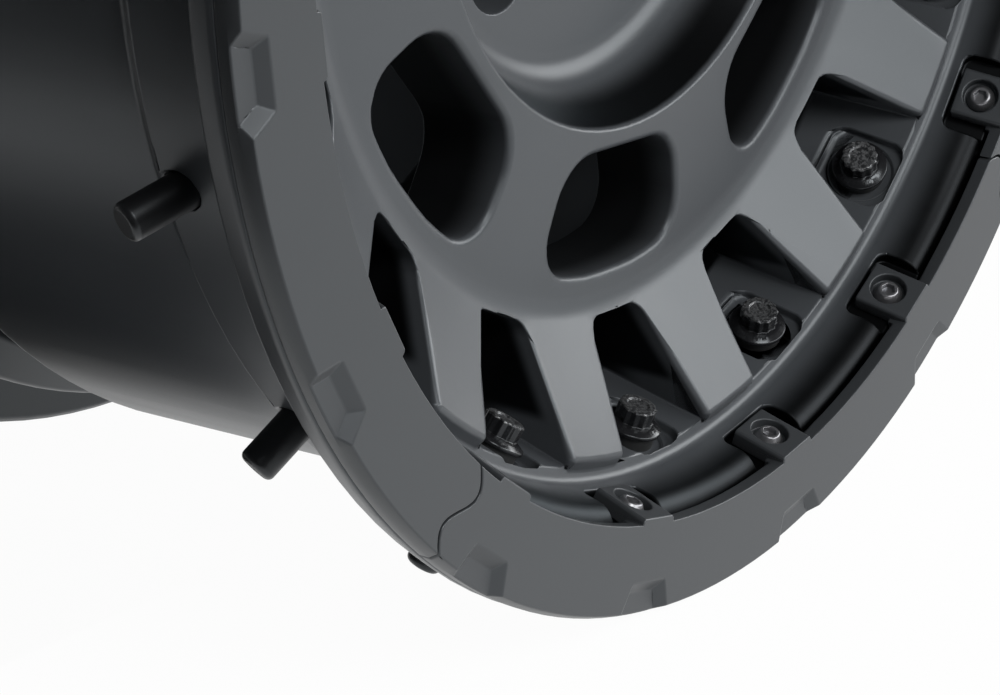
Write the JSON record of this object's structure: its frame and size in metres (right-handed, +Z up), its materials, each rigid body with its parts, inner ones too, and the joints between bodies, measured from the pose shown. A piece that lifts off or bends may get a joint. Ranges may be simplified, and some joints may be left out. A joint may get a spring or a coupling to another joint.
{
  "type": "alloy wheel",
  "caption": "Cast alloy wheel with deep-set spokes, a segmented trim ring screwed to its lip and an internal bead lock worked by flanged bolts.",
  "frame": {"origin": "centre of the lug circle on the hub mounting face", "axes": "+Y along the wheel's axis towards the car, so the face looks towards -Y; +Z up through the middle of an outer window"},
  "size_m": [0.472, 0.2576, 0.472],
  "materials": {
    "wheel_coat": "satin graphite powder coat on cast aluminium",
    "ring_coat": "satin graphite powder coat on machined aluminium",
    "bolt_black": "gloss black coated steel",
    "screw_black": "semi-gloss black oxide steel",
    "seal_rubber": "matt black rubber"
  },
  "bodies": {
    "root": {"wheel_casting": "wheel_coat", "ring_segment_01": "ring_coat", "ring_segment_02": "ring_coat", "ring_segment_03": "ring_coat", "ring_segment_04": "ring_coat", "lock_bolt_01": "bolt_black", "lock_bolt_02": "bolt_black", "lock_bolt_03": "bolt_black", "lock_bolt_04": "bolt_black", "lock_bolt_05": "bolt_black", "lock_bolt_06": "bolt_black", "lock_bolt_07": "bolt_black", "lock_bolt_08": "bolt_black", "lock_bolt_09": "bolt_black", "lock_bolt_10": "bolt_black", "lock_bolt_11": "bolt_black", "lock_bolt_12": "bolt_black", "lock_bolt_13": "bolt_black", "lock_bolt_14": "bolt_black", "lock_bolt_15": "bolt_black", "lock_bolt_16": "bolt_black", "bolt_seal_01": "seal_rubber", "bolt_seal_02": "seal_rubber", "bolt_seal_03": "seal_rubber", "bolt_seal_04": "seal_rubber", "bolt_seal_05": "seal_rubber", "bolt_seal_06": "seal_rubber", "bolt_seal_07": "seal_rubber", "bolt_seal_08": "seal_rubber", "bolt_seal_09": "seal_rubber", "bolt_seal_10": "seal_rubber", "bolt_seal_11": "seal_rubber", "bolt_seal_12": "seal_rubber", "bolt_seal_13": "seal_rubber", "bolt_seal_14": "seal_rubber", "bolt_seal_15": "seal_rubber", "bolt_seal_16": "seal_rubber", "ring_screw_01": "screw_black", "ring_screw_02": "screw_black", "ring_screw_03": "screw_black", "ring_screw_04": "screw_black", "ring_screw_05": "screw_black", "ring_screw_06": "screw_black", "ring_screw_07": "screw_black", "ring_screw_08": "screw_black", "ring_screw_09": "screw_black", "ring_screw_10": "screw_black", "ring_screw_11": "screw_black", "ring_screw_12": "screw_black", "ring_screw_13": "screw_black", "ring_screw_14": "screw_black", "ring_screw_15": "screw_black", "ring_screw_16": "screw_black"}
  },
  "joints": []
}
